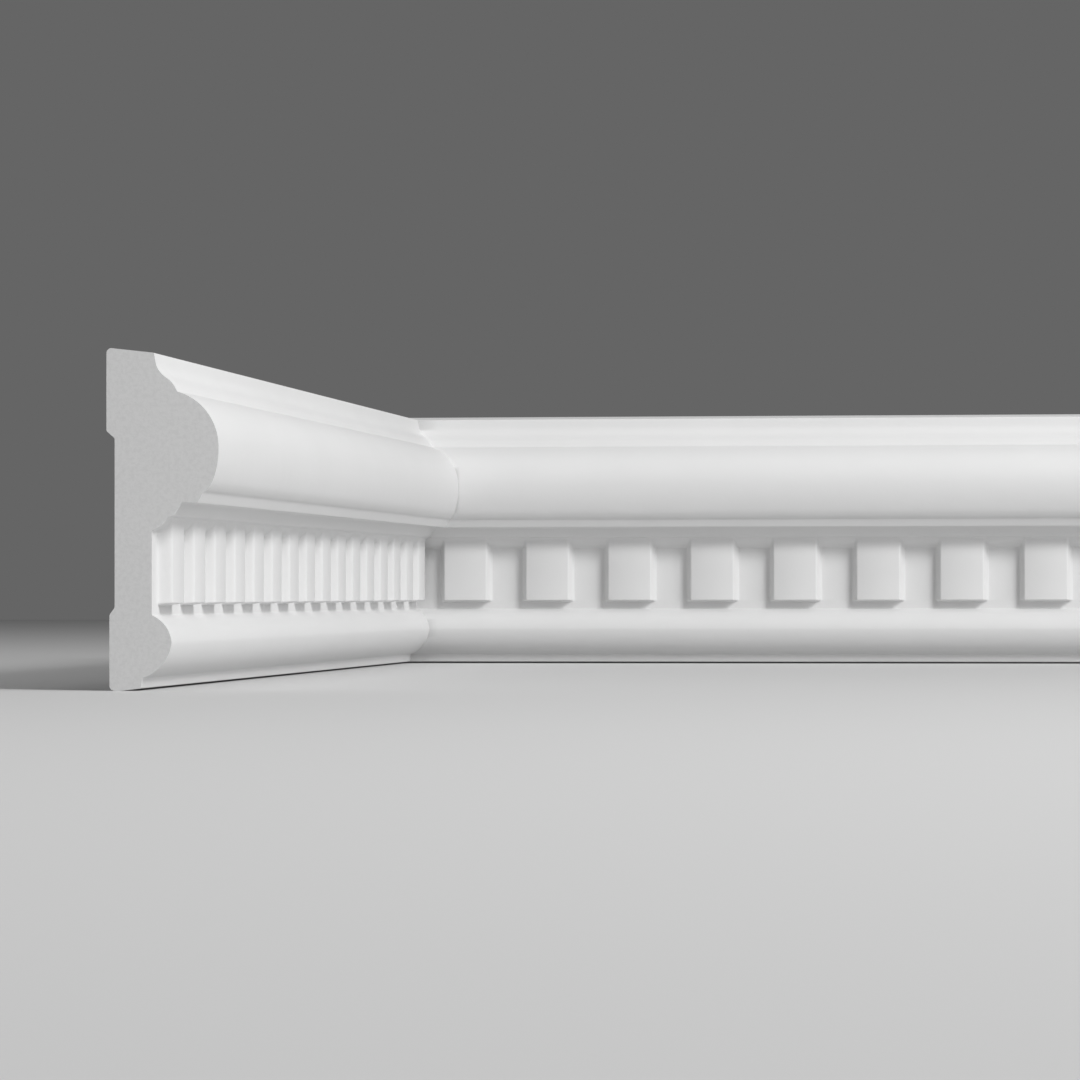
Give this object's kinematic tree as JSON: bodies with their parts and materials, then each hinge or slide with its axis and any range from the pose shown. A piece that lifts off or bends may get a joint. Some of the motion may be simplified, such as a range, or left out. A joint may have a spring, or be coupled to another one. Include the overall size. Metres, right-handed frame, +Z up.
{
  "type": "wall moulding",
  "caption": "Inside corner of a classical dado moulding: two mitred lengths with a swelling ovolo over a row of dentils and a small torus foot.",
  "frame": {"origin": "middle of the footprint's box, at the height of the moulding's bottom edge", "axes": "+Z up, +Y into the wall behind the back length, -X into the wall behind the side length, +X along the back length away from the corner"},
  "size_m": [0.286, 0.492, 0.09],
  "materials": {
    "back_length": "matt white primer over rigid polyurethane foam",
    "side_length": "matt white primer over rigid polyurethane foam, bare foam at the square cut"
  },
  "bodies": {
    "root": {"back_length": "back_length", "side_length": "side_length"}
  },
  "joints": []
}
